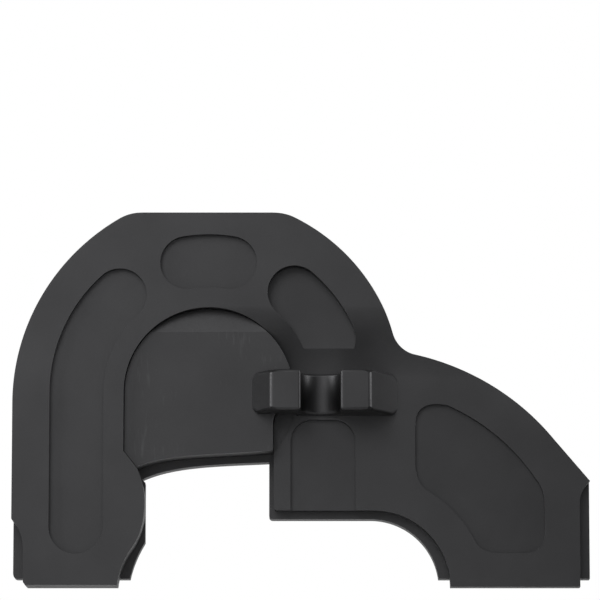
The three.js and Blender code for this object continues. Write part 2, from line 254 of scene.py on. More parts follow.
def panel_outline():
    right = POST_X - 0.1
    return [
        (right, -6.1),
        *panel_edge(0),
        *bezier((-19.05, -7.8), (-16.0, -6.4), (-11.0, -6.6), (right, -6.1), steps=16)[:-1],
    ]


def band_pocket(start, end, tail=0.0):
    """A pocket that follows the arch, with round ends and, on the left leg, a straight tail."""
    inner, outer = 10.9, 16.5
    middle, half = (inner + outer) / 2, (outer - inner) / 2
    far = polar(ARCH_C, middle, end)
    far = (far[0], far[1] - tail)
    return [
        *arc(ARCH_C, outer, start, end),
        *arc(far, half, end, end + 180, 5),
        *arc(ARCH_C, inner, end, start),
        *arc(polar(ARCH_C, middle, start), half, start + 180, start + 360, 5),
    ]


def wing_pocket():
    outer = WING_R - 4.0
    left, right, low = 9.85, 23.27, -16.63
    below = arc(POCKET_INNER_C, POCKET_INNER_R, 27, 58)
    return [
        *bezier((left, -3.3), (left, -0.5), polar(WING_C, outer, 66), steps=10),
        *arc(WING_C, outer, 66, 34),
        *bezier(polar(WING_C, outer, 34), (right, -9.9), (right, -11.7), steps=8),
        *bezier((right, low + 2.2), (right, low), (right - 2.2, low), steps=10),
        *bezier((18.6, low), (16.7, low), below[0], steps=8),
        *below,
        *bezier(below[-1], (left, -9.4), (left, -7.2), steps=8),
    ]


def post_pocket():
    left, right, top, corner = -3.12, 3.64, -2.7, 2.3
    return [
        (left, -16),
        *arc((left + corner, top - corner), corner, 180, 90, 5),
        *arc((right - corner, top - corner), corner, 90, 0, 5),
        (right, -16),
    ]


def recess():
    """The shallow step in the post that carries on the panel's circle under the block."""
    edge = arc(ARCH_C, RECESS_R, -48, -8)
    return [*edge, (edge[0][0], edge[-1][1])]


# ---- Mesh building ---------------------------------------------------------------------------


def add_prism(bm, outline, low, high):
    """A closed slab of an (X, Z) outline, from one height to another."""
    kept = [p for p, before in zip(outline, outline[-1:] + outline[:-1]) if math.dist(p, before) > 1e-4]
    back = [bm.verts.new((x * MM, -low * MM, z * MM)) for x, z in kept]
    front = [bm.verts.new((x * MM, -high * MM, z * MM)) for x, z in kept]
    faces = [bm.faces.new(back), bm.faces.new(front)]
    for i in range(len(kept)):
        faces.append(bm.faces.new((back[i - 1], back[i], front[i], front[i - 1])))
    bmesh.ops.recalc_face_normals(bm, faces=faces)


def add_swept(bm, profile, start, end, place):
    """A closed slab of a profile of (a, b) pairs, swept from start to end. place(a, b, s) gives the point."""
    first = [bm.verts.new(Vector(place(a, b, start)) * MM) for a, b in profile]
    last = [bm.verts.new(Vector(place(a, b, end)) * MM) for a, b in profile]
    faces = [bm.faces.new(first), bm.faces.new(last)]
    for i in range(len(profile)):
        faces.append(bm.faces.new((first[i - 1], first[i], last[i], last[i - 1])))
    bmesh.ops.recalc_face_normals(bm, faces=faces)


def add_turned(bm, profile, centre, sides=48):
    """A closed solid of revolution about an axis square to the plates, from (radius, height) pairs.
    The profile starts and ends on the axis."""
    x, z = centre
    rings = []
    for radius, height in profile:
        if radius == 0:
            rings.append([bm.verts.new((x * MM, -height * MM, z * MM))] * sides)
            continue
        turns = [2 * math.pi * i / sides for i in range(sides)]
        rings.append([
            bm.verts.new(((x + radius * math.cos(t)) * MM, -height * MM, (z + radius * math.sin(t)) * MM))
            for t in turns
        ])
    faces = []
    for near, far in zip(rings, rings[1:]):
        for i in range(sides):
            corners = [near[i - 1], near[i], far[i], far[i - 1]]
            faces.append(bm.faces.new(list(dict.fromkeys(corners))))
    bmesh.ops.recalc_face_normals(bm, faces=faces)


def new_object(name, bm, *materials):
    mesh = bpy.data.meshes.new(name)
    bm.to_mesh(mesh)
    bm.free()
    for material in materials:
        mesh.materials.append(material)
    obj = bpy.data.objects.new(name, mesh)
    bpy.context.scene.collection.objects.link(obj)
    return obj


def shape(name, *slabs):
    """An object made of closed slabs that don't touch: each is (outline, low, high)."""
    bm = bmesh.new()
    for outline, low, high in slabs:
        add_prism(bm, outline, low, high)
    return new_object(name, bm)


def freeze(obj):
    """Turns an object's modifiers into plain mesh."""
    depsgraph = bpy.context.evaluated_depsgraph_get()
    mesh = bpy.data.meshes.new_from_object(obj.evaluated_get(depsgraph), depsgraph=depsgraph)
    obj.modifiers.clear()
    obj.data = mesh


def combine(obj, other, operation):
    modifier = obj.modifiers.new("solid", "BOOLEAN")
    modifier.operation = operation
    modifier.solver = "EXACT"
    modifier.object = other
    freeze(obj)
    bpy.data.objects.remove(other)


def cut(obj, *cutters):
    for cutter in cutters:
        combine(obj, cutter, "DIFFERENCE")


def break_edges(obj, width, share=None, segments=2, limit=30):
    """Bevels the edges sharper than a limit, in degrees. share(x, z, height) scales the width."""
    bm = bmesh.new()
    bm.from_mesh(obj.data)
    bmesh.ops.remove_doubles(bm, verts=bm.verts, dist=1e-7)
    weight = bm.edges.layers.float.new("bevel_weight_edge")
    for edge in bm.edges:
        if len(edge.link_faces) == 2 and edge.calc_face_angle(0) > math.radians(limit):
            middle = (edge.verts[0].co + edge.verts[1].co) / 2 / MM
            edge[weight] = share(middle.x, middle.z, -middle.y) if share else 1.0
    bm.to_mesh(obj.data)
    bm.free()
    bevel = obj.modifiers.new("edges", "BEVEL")
    bevel.limit_method = "WEIGHT"
    bevel.width = width
    bevel.segments = segments
    # Bevel faces take slot 1, which on the plates holds the edge colour with its painted highlight.
    bevel.material = 1
    bevel.use_clamp_overlap = True
    freeze(obj)


def even_normals(obj, flat_area=12.0):
    """Smooth shading that keeps flat the faces square to Y and those over an area in square millimetres."""
    obj.data.shade_smooth()
    obj.data.set_sharp_from_angle(angle=math.radians(50))
    weighted = obj.modifiers.new("normals", "WEIGHTED_NORMAL")
    weighted.keep_sharp = True
    weighted.weight = 80
    freeze(obj)
    normals = [corner.vector.copy() for corner in obj.data.corner_normals]
    for face in obj.data.polygons:
        if abs(face.normal.y) > 0.9995 or face.area > flat_area * MM * MM:
            for loop in face.loop_indices:
                normals[loop] = face.normal.copy()
    obj.data.normals_split_custom_set(normals)


def paint(obj, index, test):
    """Gives a material slot to the faces whose centre, as (x, z, height), and normal pass a test."""
    for face in obj.data.polygons:
        centre = face.center / MM
        if test(centre.x, centre.z, -centre.y, face.normal):
            face.material_index = index


def finish_piece(obj, slot, *nodes):
    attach(obj, BODY)
    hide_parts(*nodes)


# ---- Materials -------------------------------------------------------------------------------


def node(tree, kind, inputs=None, **settings):
    """Adds a node with its settings; an input is a value, or an output to link from."""
    made = tree.nodes.new(kind)
    for name, value in settings.items():
        setattr(made, name, value)
    for name, value in (inputs or {}).items():
        if isinstance(value, bpy.types.NodeSocket):
            tree.links.new(value, made.inputs[name])
        else:
            made.inputs[name].default_value = value
    return made


def new_material(name):
    material = bpy.data.materials.get(name)
    if material:
        return material, None
    material = bpy.data.materials.new(name)
    material.use_nodes = True
    material.node_tree.nodes.clear()
    return material, material.node_tree


def per_mm(size):
    """The texture scale for a feature of a size in millimetres."""
    return 1 / (size * MM)


def scaled(colour, amount):
    return [c * amount for c in colour[:3]] + [1.0]


def noise(tree, vector, scale, detail):
    made = node(tree, "ShaderNodeTexNoise", {"Vector": vector, "Scale": scale, "Detail": detail})
    return made.outputs["Fac"]


def anodised(name, colour, roughness, scuffs=0.0, tool_marks=0.0, tool_centre=(0.0, 0.0)):
    """Black anodised aluminium, cut on a mill and then matted by a fine blast before dyeing.
    The eye gets a broad soft sheen, a fine even grain, slight clouds in the dye, and on handled
    faces pale upright rubs and a few specks of dust."""
    material, tree = new_material(name)
    if tree is None:
        return material
    place = node(tree, "ShaderNodeTexCoord").outputs["Object"]
    # The real blast grain is about 0.05 mm. It is drawn at 0.2 mm so that it shows.
    grain = noise(tree, place, per_mm(0.2), 3.0)
    clouds = noise(tree, place, per_mm(7.0), 4.0)
    tone = node(tree, "ShaderNodeMapRange", {
        "Value": clouds, "From Min": 0.3, "From Max": 0.7, "To Min": 0.0, "To Max": 1.0,
    }).outputs["Result"]
    base = node(tree, "ShaderNodeMix", {
        "Factor": tone, "A": scaled(colour, 0.93), "B": scaled(colour, 1.07),
    }, data_type="RGBA")
    colour_out = base.outputs[2]
    height = grain
    if scuffs:
        # Rubs about 0.3 mm wide and 2 mm long, upright, in patches about 5 mm across.
        streaks = node(tree, "ShaderNodeMapping", {
            "Vector": place,
            "Scale": (per_mm(0.3), per_mm(1.0), per_mm(2.0)),
            "Rotation": (0.0, 0.3, 0.0),
        }).outputs["Vector"]
        rubs = noise(tree, streaks, 1.0, 2.0)
        patches = noise(tree, place, per_mm(5.0), 2.0)
        both = node(tree, "ShaderNodeMath", {0: rubs, 1: patches}, operation="MULTIPLY")
        amount = node(tree, "ShaderNodeMapRange", {
            "Value": both.outputs[0], "From Min": 0.34, "From Max": 0.46, "To Min": 0.0, "To Max": scuffs,
        }).outputs["Result"]
        specks = node(tree, "ShaderNodeTexVoronoi", {"Vector": place, "Scale": per_mm(2.2)}, feature="F1")
        dots = node(tree, "ShaderNodeMapRange", {
            "Value": specks.outputs["Distance"],
            "From Min": 0.05, "From Max": 0.02, "To Min": 0.0, "To Max": scuffs,
        }).outputs["Result"]
        marks = node(tree, "ShaderNodeMath", {0: amount, 1: dots}, operation="MAXIMUM", use_clamp=True)
        base = node(tree, "ShaderNodeMix", {
            "Factor": marks.outputs[0], "A": colour_out, "B": scaled(colour, 2.4),
        }, data_type="RGBA")
        colour_out = base.outputs[2]
    if tool_marks:
        # Concentric cutter paths, 0.35 mm apart.
        centre = node(tree, "ShaderNodeMapping", {
            "Vector": place, "Location": (-tool_centre[0] * MM, 0.0, -tool_centre[1] * MM),
        }).outputs["Vector"]
        rings = node(tree, "ShaderNodeTexWave", {
            "Vector": centre, "Scale": per_mm(0.35) / 20, "Distortion": 0.4, "Detail": 1.0,
        }, wave_type="RINGS", rings_direction="Y").outputs["Fac"]
        mixed = node(tree, "ShaderNodeMath", {0: rings, 1: tool_marks, 2: grain}, operation="MULTIPLY_ADD")
        height = mixed.outputs[0]
    rough = node(tree, "ShaderNodeMapRange", {
        "Value": grain,
        "From Min": 0.3, "From Max": 0.7, "To Min": roughness - 0.04, "To Max": roughness + 0.05,
    }).outputs["Result"]
    bump = node(tree, "ShaderNodeBump", {"Height": height, "Strength": 0.25, "Distance": 0.01 * MM})
    shader = node(tree, "ShaderNodeBsdfPrincipled", {
        "Base Color": colour_out, "Metallic": 1.0, "Roughness": rough, "Normal": bump.outputs["Normal"],
    })
    node(tree, "ShaderNodeOutputMaterial", {"Surface": shader.outputs["BSDF"]})
    return material


def steel(name, colour, roughness, turning=0.15):
    """Steel with fine turning lines: blackened by hot oxide on the screws, bright ground on the pins."""
    material, tree = new_material(name)
    if tree is None:
        return material
    place = node(tree, "ShaderNodeTexCoord").outputs["Object"]
    lines = node(tree, "ShaderNodeMapping", {
        "Vector": place, "Scale": (per_mm(1.5), per_mm(0.08), per_mm(1.5)),
    }).outputs["Vector"]
    turned = noise(tree, lines, 1.0, 2.0)
    wear = noise(tree, place, per_mm(0.6), 3.0)
    base = node(tree, "ShaderNodeMix", {
        "Factor": wear, "A": scaled(colour, 0.8), "B": scaled(colour, 1.25),
    }, data_type="RGBA")
    rough = node(tree, "ShaderNodeMapRange", {
        "Value": wear,
        "From Min": 0.3, "From Max": 0.7, "To Min": roughness - 0.06, "To Max": roughness + 0.08,
    }).outputs["Result"]
    bump = node(tree, "ShaderNodeBump", {"Height": turned, "Strength": turning, "Distance": 0.01 * MM})
    shader = node(tree, "ShaderNodeBsdfPrincipled", {
        "Base Color": base.outputs[2], "Metallic": 1.0, "Roughness": rough, "Normal": bump.outputs["Normal"],
    })
    node(tree, "ShaderNodeOutputMaterial", {"Surface": shader.outputs["BSDF"]})
    return material


def paper(name, colour):
    """Matt white studio paper: even, with a faint tooth."""
    material, tree = new_material(name)
    if tree is None:
        return material
    place = node(tree, "ShaderNodeTexCoord").outputs["Object"]
    tooth = noise(tree, place, per_mm(0.8), 2.0)
    bump = node(tree, "ShaderNodeBump", {"Height": tooth, "Strength": 0.05, "Distance": 0.05 * MM})
    base = node(tree, "ShaderNodeMix", {
        "Factor": tooth, "A": scaled(colour, 0.99), "B": colour,
    }, data_type="RGBA")
    shader = node(tree, "ShaderNodeBsdfPrincipled", {
        "Base Color": base.outputs[2], "Roughness": 0.9, "Normal": bump.outputs["Normal"],
    })
    node(tree, "ShaderNodeOutputMaterial", {"Surface": shader.outputs["BSDF"]})
    return material


# ---- Settings a user would change ------------------------------------------------------------


class CarrierSizes(bpy.types.PropertyGroup):
    edge_break: FloatProperty(
        name="Edge break", description="Width of the rounding on the plates' outer edges",
        default=0.28 * MM, min=0.0, unit="LENGTH")
    hub_edge: FloatProperty(
        name="Block edge", description="Width of the bevel on the stud block's edges",
        default=0.3 * MM, min=0.0, unit="LENGTH")
    head_radius: FloatProperty(
        name="Screw head radius", description="Radius of the countersunk heads in the back",
        default=(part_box("arch_screw_1")[1].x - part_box("arch_screw_1")[0].x) / 2, min=0.0, unit="LENGTH")
    shank_radius: FloatProperty(
        name="Screw shank radius", description="Radius of the screws' shanks",
        default=SCREW_R * MM, min=0.0, unit="LENGTH")
    socket_width: FloatProperty(
        name="Socket width", description="Hexagon socket, across its flats",
        default=1.3 * MM, min=0.0, unit="LENGTH")


class CarrierColours(bpy.types.PropertyGroup):
    plate: FloatVectorProperty(
        name="Anodised black", description="Colour of the anodised plates",
        subtype="COLOR", size=4, min=0.0, max=1.0, default=linear("#3f3f40"))
    # Edge colour: lighter than the plate for rubbed anodising, and lighter still as a painted highlight that
    # draws bright lines along every bevel under any lamp.
    edge: FloatVectorProperty(
        name="Rubbed edge and painted highlight", description="Colour of the edges: rubbed anodising, lightened further as a painted highlight",
        subtype="COLOR", size=4, min=0.0, max=1.0, default=linear("#808084"))
    screw: FloatVectorProperty(
        name="Blackened steel", description="Colour of the screws",
        subtype="COLOR", size=4, min=0.0, max=1.0, default=linear("#2b2b2e"))
    pin: FloatVectorProperty(
        name="Ground steel", description="Colour of the dowel pins",
        subtype="COLOR", size=4, min=0.0, max=1.0, default=linear("#9b9b9d"))
    floor: FloatVectorProperty(
        name="Paper", description="Colour of the studio floor",
        subtype="COLOR", size=4, min=0.0, max=1.0, default=linear("#f4f4f4"))


# ---- Pieces ----------------------------------------------------------------------------------


def mounting_holes():
    """The tapped holes for the vehicle's screws: one in the left leg, one in the arch, one in the wing."""
    return [(-25.3, -10.0), polar(ARCH_C, 14.0, 64), polar(WING_C, 23.2, 54)]


def thread_profile(start, end):
    """A tapped hole's outline from the back: a ridge and a hollow for each turn of the thread."""
    height = TAPPED_LIP + TAPPED_CHAMFER
    profile = [(0, start), (TAPPED_MAJOR_R, start), (TAPPED_MAJOR_R, TAPPED_LIP), (TAPPED_MINOR_R, height)]
    while height + TAPPED_PITCH < end:
        profile.append((TAPPED_MAJOR_R - 0.05, height + TAPPED_PITCH / 2))
        profile.append((TAPPED_MINOR_R, height + TAPPED_PITCH))
        height += TAPPED_PITCH
    return profile + [(TAPPED_MINOR_R, end), (0, end)]


def tapped_cutter():
    bm = bmesh.new()
    for centre in mounting_holes():
        add_turned(bm, thread_profile(-1.0, TAPPED_DEPTH), centre)
    return new_object("tapped_cutter", bm)


def blind_cutter(names, past=0.15):
    bm = bmesh.new()
    for name in names:
        centre, back, length = PLACES[name]
        radius = SCREW_R + SCREW_GAP
        front = back + length + past
        add_turned(bm, [(0, 0.5), (radius, 0.5), (radius, front), (0, front)], centre, 32)
    return new_object("blind_cutter", bm)


def pin_cutter():
    bm = bmesh.new()
    for name in PINS:
        centre, back, length = PLACES[name]
        radius = PIN_R + SCREW_GAP
        front = back + length + 0.1
        add_turned(bm, [(0, -1), (radius, -1), (radius, front), (0, front)], centre, 32)
    return new_object("pin_cutter", bm)


def countersink_cutter():
    bm = bmesh.new()
    for name in SCREWS:
        centre, back, _ = PLACES[name]
        head, shank, top = SCREW_HEAD_R + SCREW_GAP, SCREW_R + SCREW_GAP, REAR_H + 1
        profile = [(0, -1), (head, -1), (head, back), (shank, back + head - shank), (shank, top), (0, top)]
        add_turned(bm, profile, centre)
    return new_object("countersink_cutter", bm)


HOLES = [centre for centre, _, _ in PLACES.values()] + mounting_holes()


def hidden_in_hole(x, z, height):
    """True for edges inside the drilled and tapped holes, which stay sharp."""
    return height > 0.05 and any(math.dist((x, z), centre) < 2.0 for centre in HOLES)


def plate_materials(colours, scuffs=0.0, name="Anodised plate"):
    surface = anodised(name, colours.plate, 0.48, scuffs=scuffs)
    # The bevels get this lighter colour: partly rubbed anodising, partly a painted highlight along the edges.
    edge = anodised("Anodised rubbed edge, painted highlight", colours.edge, 0.4)
    return surface, edge


def build_rear_plate(sizes, colours):
    obj = shape("rear_plate_fine", (rear_outline(), 0, REAR_H))
    cut(obj, countersink_cutter(), pin_cutter(), tapped_cutter())
    for material in plate_materials(colours):
        obj.data.materials.append(material)
    break_edges(obj, sizes.edge_break * 0.5, lambda x, z, h: 0.0 if hidden_in_hole(x, z, h) else 1.0)
    even_normals(obj)
    finish_piece(obj, "rear_plate", "rear_plate")


def shoulder_slope():
    """The slope down the right shoulder, as (Z, height) pairs from the top."""
    high = (RAMP_TOP_Z, ARCH_H), (RAMP_TOP_Z - 2.0, ARCH_H)
    low = (RAMP_FOOT_Z + 3.7, WING_H), (RAMP_FOOT_Z, WING_H)
    return bezier(*high, *low, steps=30)


def smooth_shoulder(obj):
    """Shades the slope from its own curve."""
    mesh = obj.data
    slope = shoulder_slope()
    tilts = []
    for (z0, h0), (z1, h1) in zip(slope, slope[1:]):
        tilts.append(((z0 + z1) / 2, math.atan2(h0 - h1, z0 - z1)))

    def normal_at(z):
        z = min(max(z, tilts[-1][0]), tilts[0][0])
        for (z0, tilt0), (z1, tilt1) in zip(tilts, tilts[1:]):
            if z >= z1:
                tilt = tilt1 + (tilt0 - tilt1) * (z - z1) / (z0 - z1)
                break
        return Vector((0, -math.cos(tilt), -math.sin(tilt)))

    normals = [corner.vector.copy() for corner in mesh.corner_normals]
    for face in mesh.polygons:
        if abs(face.normal.x) < 0.001 and -0.9995 < face.normal.y < -0.8 and face.normal.z < 0:
            for loop in face.loop_indices:
                z = mesh.vertices[mesh.loops[loop].vertex_index].co.z / MM
                normals[loop] = normal_at(z)
    mesh.normals_split_custom_set(normals)


def ramp_cutter():
    """Everything in front of the wing, with the smooth slope down the right shoulder."""
    profile = shoulder_slope()
    profile += [(FRONT_FOOT_Z - 2, WING_H), (FRONT_FOOT_Z - 2, ARCH_H + 2), (RAMP_TOP_Z, ARCH_H + 2)]
    bm = bmesh.new()
    add_swept(bm, profile, ARCH_C[0], RIGHT_X + 5, lambda z, h, x: (x, -h, z))
    return new_object("ramp_cutter", bm)


def front_edge_share(x, z, height):
    """Narrower rounding on the pockets' edges, none on floors, in holes or where the plates meet."""
    floors = (ARCH_POCKET_H, SHOULDER_POCKET_H, WING_POCKET_H, RECESS_H)
    if height < REAR_H + 0.01 or any(abs(height - floor) < 0.01 for floor in floors):
        return 0.0
    if hidden_in_hole(x, z, height) and height < WING_POCKET_H:
        return 0.0
    low_side = z < FRONT_INNER_C[1] + FRONT_INNER_R + 0.3
    outside = abs(math.dist((x, z), LEFT_C) - LEFT_R) < 0.3 or math.dist((x, z), RIGHT_C) > RIGHT_R - 0.1
    return 1.0 if low_side or outside else 0.7


def build_front_plate(sizes, colours):
    obj = shape("front_plate_fine", (front_outline(), REAR_H, ARCH_H))
    over = HUB_H
    left_slot = band_pocket(132.5, 180, 14.1)
    top_slot = band_pocket(80.8, 99.6)
    right_slot = band_pocket(24.5, 49.5)
    cut(
        obj,
        ramp_cutter(),
        shape("arch_pockets", (left_slot, ARCH_POCKET_H, over), (top_slot, ARCH_POCKET_H, over),
              (right_slot, SHOULDER_POCKET_H, over)),
        shape("wing_pockets", (wing_pocket(), WING_POCKET_H, over), (post_pocket(), WING_POCKET_H, over)),
        shape("recess", (recess(), RECESS_H, over)),
        blind_cutter(SCREW_KINDS["arch_screws"] + SCREW_KINDS["wing_screws"] + SCREW_KINDS["hub_screws"][1:]),
        pin_cutter(),
        tapped_cutter(),
    )
    surface, edge = plate_materials(colours)
    obj.data.materials.append(surface)
    obj.data.materials.append(edge)
    obj.data.materials.append(anodised(
        "Anodised milled floor", colours.plate, 0.46, tool_marks=0.8, tool_centre=ARCH_C))
    break_edges(obj, sizes.edge_break, front_edge_share, segments=3)
    floors = (ARCH_POCKET_H, SHOULDER_POCKET_H, WING_POCKET_H)
    paint(obj, 2, lambda x, z, h, normal: normal.y < -0.99 and any(abs(h - floor) < 0.01 for floor in floors))
    even_normals(obj)
    smooth_shoulder(obj)
    finish_piece(obj, "front_plate", "front_plate")


def build_centre_panel(sizes, colours):
    obj = shape("centre_panel_fine", (panel_outline(), REAR_H, PANEL_H))
    top = PANEL_R + 0.4
    bm = bmesh.new()
    lean = [(CHORD_Z, PANEL_H), (top, PANEL_H - CRESCENT_LEAN), (top, ARCH_H + 1), (CHORD_Z, ARCH_H + 1)]
    add_swept(bm, lean, ARCH_C[0] - PANEL_R - 1, ARCH_C[0] + PANEL_R + 1, lambda z, h, x: (x, -h, z))
    screws = SCREW_KINDS["panel_screws"] + SCREW_KINDS["hub_screws"][:1]
    cut(obj, new_object("lean", bm), blind_cutter(screws))
    surface, edge = plate_materials(colours, scuffs=0.16, name="Anodised panel, scuffed")
    obj.data.materials.append(surface)
    obj.data.materials.append(edge)

    def share(x, z, height):
        if height < REAR_H + 0.01 or hidden_in_hole(x, z, height) and height < PANEL_H - 0.2:
            return 0.0
        return 1.0 if x < LEFT_LEG_FRONT_X else 0.45

    break_edges(obj, sizes.edge_break * 1.25, share, segments=3)
    even_normals(obj)
    finish_piece(obj, "centre_panel", "centre_panel")


def build_hub_block(sizes, colours):
    slope = math.tan(math.radians(60))
    left_x = -HUB_HALF - (HUB_H - PANEL_H) / slope
    right_x = HUB_HALF + (HUB_H - WING_H) / slope
    step_x = ARCH_C[0] + PANEL_R + 0.3
    groove = arc((0, GROOVE_FLOOR_H + GROOVE_R), GROOVE_R, 0, -180, 6)
    profile = [
        (left_x, PANEL_H), (step_x, PANEL_H), (step_x, WING_H), (right_x, WING_H), (HUB_HALF, HUB_H),
        (GROOVE_R, HUB_H), *groove, (-GROOVE_R, HUB_H), (-HUB_HALF, HUB_H),
    ]
    low, high = HUB_MID_Z - HUB_HALF_Z, HUB_MID_Z + HUB_HALF_Z
    bm = bmesh.new()
    add_swept(bm, profile, low, high, lambda x, h, z: (x, -h, z))
    obj = new_object("hub_block_fine", bm)

    corner = 0.5
    face = [
        (left_x + corner, low), (right_x - corner, low), (right_x, low + corner), (right_x, high - corner),
        (right_x - corner, high), (left_x + corner, high), (left_x, high - corner), (left_x, low + corner),
    ]
    combine(obj, shape("hub_face", (face, WING_H - 1, HUB_H + 1)), "INTERSECT")
    obj.data.materials.append(anodised("Anodised block", colours.plate, 0.44))
    obj.data.materials.append(anodised("Anodised block edge", colours.plate, 0.5))

    def share(x, z, height):
        if height < WING_H + 0.05 or x < step_x + 0.1 and height < PANEL_H + 0.05:
            return 0.0
        return 1.0

    break_edges(obj, sizes.hub_edge, share, segments=3)
    combine(obj, hub_crown(low, high), "INTERSECT")
    # The seat's back edge is relieved where the front plate's slope rises behind the block.
    rise = bmesh.new()
    relief = [(1.2, 2.8), (1.2, WING_H), (4.0, WING_H + 0.9), (4.0, 2.8)]
    add_swept(rise, relief, -4, 10, lambda z, h, x: (x, -h, z))
    cut(obj, new_object("shoulder", rise), blind_cutter(SCREW_KINDS["hub_screws"]))
    paint(obj, 1, lambda x, z, h, normal: 0.2 < abs(normal.z) < 0.95)
    even_normals(obj, 2.0)
    finish_piece(obj, "hub_block", "hub_block")


def hub_crown(low, high):
    """The chamfered envelope that a hexagonal bar is turned to, about the upright axis."""
    outer, inner, drop = 10.45, 9.5, 0.55
    sides = 144
    rings = []
    bm = bmesh.new()
    for radius, z in ((inner, low), (outer, low + drop), (outer, high - drop), (inner, high)):
        turns = [2 * math.pi * i / sides for i in range(sides)]
        rings.append([
            bm.verts.new((radius * math.cos(t) * MM, radius * math.sin(t) * MM, z * MM)) for t in turns
        ])
    faces = [bm.faces.new(rings[0]), bm.faces.new(rings[-1])]
    for near, far in zip(rings, rings[1:]):
        for i in range(sides):
            faces.append(bm.faces.new((near[i - 1], near[i], far[i], far[i - 1])))
    bmesh.ops.recalc_face_normals(bm, faces=faces)
    return new_object("hub_crown", bm)


def screw_tree():
    """Countersunk socket screws, one on each point, each turned by a random amount."""
    tree = bpy.data.node_groups.get("Countersunk screws")
    if tree:
        return tree
    tree = bpy.data.node_groups.new("Countersunk screws", "GeometryNodeTree")
    face = tree.interface
    face.new_socket(name="Places", in_out="INPUT", socket_type="NodeSocketGeometry")
    for name in ("Head radius", "Shank radius", "Length", "Socket width", "Socket depth"):
        face.new_socket(name=name, in_out="INPUT", socket_type="NodeSocketFloat")
    face.new_socket(name="Turn seed", in_out="INPUT", socket_type="NodeSocketInt")
    face.new_socket(name="Finish", in_out="INPUT", socket_type="NodeSocketMaterial")
    face.new_socket(name="Screws", in_out="OUTPUT", socket_type="NodeSocketGeometry")
    given = node(tree, "NodeGroupInput").outputs

    def maths(operation, a, b):
        return node(tree, "ShaderNodeMath", {0: a, 1: b}, operation=operation).outputs[0]

    def moved(geometry, z):
        offset = node(tree, "ShaderNodeCombineXYZ", {"Z": z})
        placed = node(tree, "GeometryNodeTransform", {"Geometry": geometry, "Translation": offset.outputs[0]})
        return placed.outputs["Geometry"]

    # Built standing on its head, the head's flat at Z = 0, then laid over to point forwards.
    head_depth = maths("SUBTRACT", given["Head radius"], given["Shank radius"])
    head = node(tree, "GeometryNodeMeshCone", {
        "Vertices": 48, "Radius Top": given["Shank radius"], "Radius Bottom": given["Head radius"],
        "Depth": head_depth,
    }).outputs["Mesh"]
    shank = node(tree, "GeometryNodeMeshCylinder", {
        "Vertices": 48, "Radius": given["Shank radius"], "Depth": maths("SUBTRACT", given["Length"], 0.0002),
    }).outputs["Mesh"]
    whole = node(tree, "GeometryNodeMeshBoolean", operation="UNION", solver="EXACT")
    tree.links.new(head, whole.inputs["Mesh 2"])
    middle = maths("ADD", maths("MULTIPLY", given["Length"], 0.5), 0.0001)
    tree.links.new(moved(shank, middle), whole.inputs["Mesh 2"])
    socket = node(tree, "GeometryNodeMeshCylinder", {
        "Vertices": 6, "Radius": maths("DIVIDE", given["Socket width"], math.sqrt(3)),
        "Depth": maths("MULTIPLY", given["Socket depth"], 2.0),
    }).outputs["Mesh"]
    hollow = node(tree, "GeometryNodeMeshBoolean", {"Mesh 1": whole.outputs["Mesh"]}, operation="DIFFERENCE",
                  solver="EXACT")
    tree.links.new(socket, hollow.inputs["Mesh 2"])

    turn = node(tree, "FunctionNodeRandomValue", {"Seed": given["Turn seed"]}, data_type="FLOAT")
    turn.inputs[2].default_value = 0.0
    turn.inputs[3].default_value = math.tau
    laid = node(tree, "GeometryNodeTransform", {
        "Geometry": hollow.outputs["Mesh"], "Rotation": (math.pi / 2, 0.0, 0.0),
    })
    about_axis = node(tree, "ShaderNodeCombineXYZ", {"Y": turn.outputs[1]})
    copies = node(tree, "GeometryNodeInstanceOnPoints", {
        "Points": given["Places"], "Instance": laid.outputs["Geometry"], "Rotation": about_axis.outputs[0],
    })
    real = node(tree, "GeometryNodeRealizeInstances", {"Geometry": copies.outputs["Instances"]})
    finish = node(tree, "GeometryNodeSetMaterial", {
        "Geometry": real.outputs["Geometry"], "Material": given["Finish"],
    })
    node(tree, "NodeGroupOutput", {"Screws": finish.outputs["Geometry"]})
    return tree


def build_screws(name, nodes, sizes, colours, seed):
    bm = bmesh.new()
    for (x, z), back, length in (PLACES[name] for name in nodes):
        bm.verts.new((x * MM, -back * MM, z * MM))
    obj = new_object(name, bm)
    tree = screw_tree()
    modifier = obj.modifiers.new("screws", "NODES")
    modifier.node_group = tree
    values = {
        "Head radius": sizes.head_radius,
        "Shank radius": sizes.shank_radius,
        "Length": length * MM,
        "Socket width": sizes.socket_width,
        "Socket depth": SOCKET_DEPTH * MM,
        "Turn seed": seed,
        "Finish": steel("Steel, black oxide", colours.screw, 0.38),
    }
    for item in tree.interface.items_tree:
        if item.in_out == "INPUT" and item.name in values:
            modifier[item.identifier] = values[item.name]
    freeze(obj)
    obj.data.materials.clear()
    for _ in ("surface", "edge"):
        obj.data.materials.append(values["Finish"])
    break_edges(obj, 0.06 * MM, segments=2, limit=40)
    even_normals(obj)
    finish_piece(obj, "screw_steel", *nodes)


def build_pins(sizes, colours):
    bm = bmesh.new()
    for centre, back, length in (PLACES[name] for name in PINS):
        radius, chamfer, front = PIN_R, 0.15, back + length
        add_turned(bm, [
            (0, back), (radius - chamfer, back), (radius, back + chamfer), (radius, front - chamfer),
            (radius - chamfer, front), (0, front),
        ], centre, 40)
    finish = steel("Steel, ground", colours.pin, 0.28)
    obj = new_object("dowel_pins", bm, finish, finish)
    break_edges(obj, 0.04 * MM)
    even_normals(obj)
    finish_piece(obj, "pin_steel", *PINS)


# ---- Stage -----------------------------------------------------------------------------------

LOOK_UP = 8.5  # degrees that the camera looks upwards
CAMERA_DISTANCE = 480.0
PICTURE_WIDTH = 62.4  # millimetres across the picture at the arch's front face
AIM = (-2.13, 9.57)
FLOOR_Z = -69.0


def look_at(obj, target):
    direction = Vector(target) - obj.location
    obj.rotation_euler = direction.to_track_quat("-Z", "Y").to_euler()


